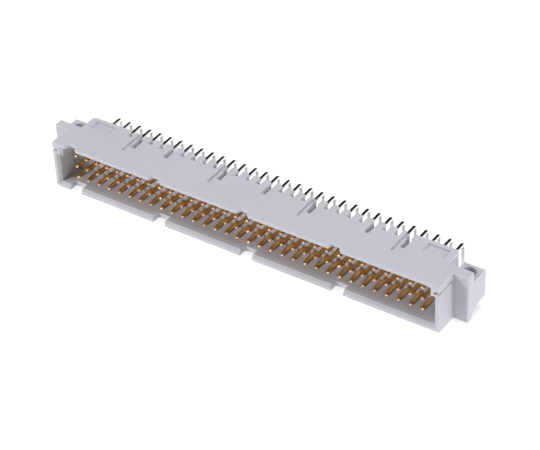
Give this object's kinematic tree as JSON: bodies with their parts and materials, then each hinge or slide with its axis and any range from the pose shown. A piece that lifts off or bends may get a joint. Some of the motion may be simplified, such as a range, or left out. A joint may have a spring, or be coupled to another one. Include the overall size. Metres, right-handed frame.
{
  "type": "right-angle backplane connector",
  "caption": "Long right-angle board connector: a shrouded, keyed plastic housing with rows of blade contacts bent down into solder tails, and an ear with a mounting hole at each end.",
  "frame": {"origin": "midway between the two mounting holes, on the board's surface", "axes": "+X along the connector, -Y the way the blades point towards the mating connector, +Z away from the board"},
  "size_m": [0.0936, 0.0167, 0.0113],
  "materials": {
    "housing": "moulded, satin",
    "contacts": "gold-plated blades and tinned tails"
  },
  "bodies": {
    "root": {"housing": "housing", "contacts_01": "contacts", "contacts_02": "contacts", "contacts_03": "contacts", "contacts_04": "contacts", "contacts_05": "contacts", "contacts_06": "contacts", "contacts_07": "contacts", "contacts_08": "contacts", "contacts_09": "contacts", "contacts_10": "contacts", "contacts_11": "contacts", "contacts_12": "contacts", "contacts_13": "contacts", "contacts_14": "contacts", "contacts_15": "contacts", "contacts_16": "contacts", "contacts_17": "contacts", "contacts_18": "contacts", "contacts_19": "contacts", "contacts_20": "contacts", "contacts_21": "contacts", "contacts_22": "contacts", "contacts_23": "contacts", "contacts_24": "contacts", "contacts_25": "contacts", "contacts_26": "contacts", "contacts_27": "contacts", "contacts_28": "contacts", "contacts_29": "contacts", "contacts_30": "contacts", "contacts_31": "contacts", "contacts_32": "contacts"}
  },
  "joints": []
}
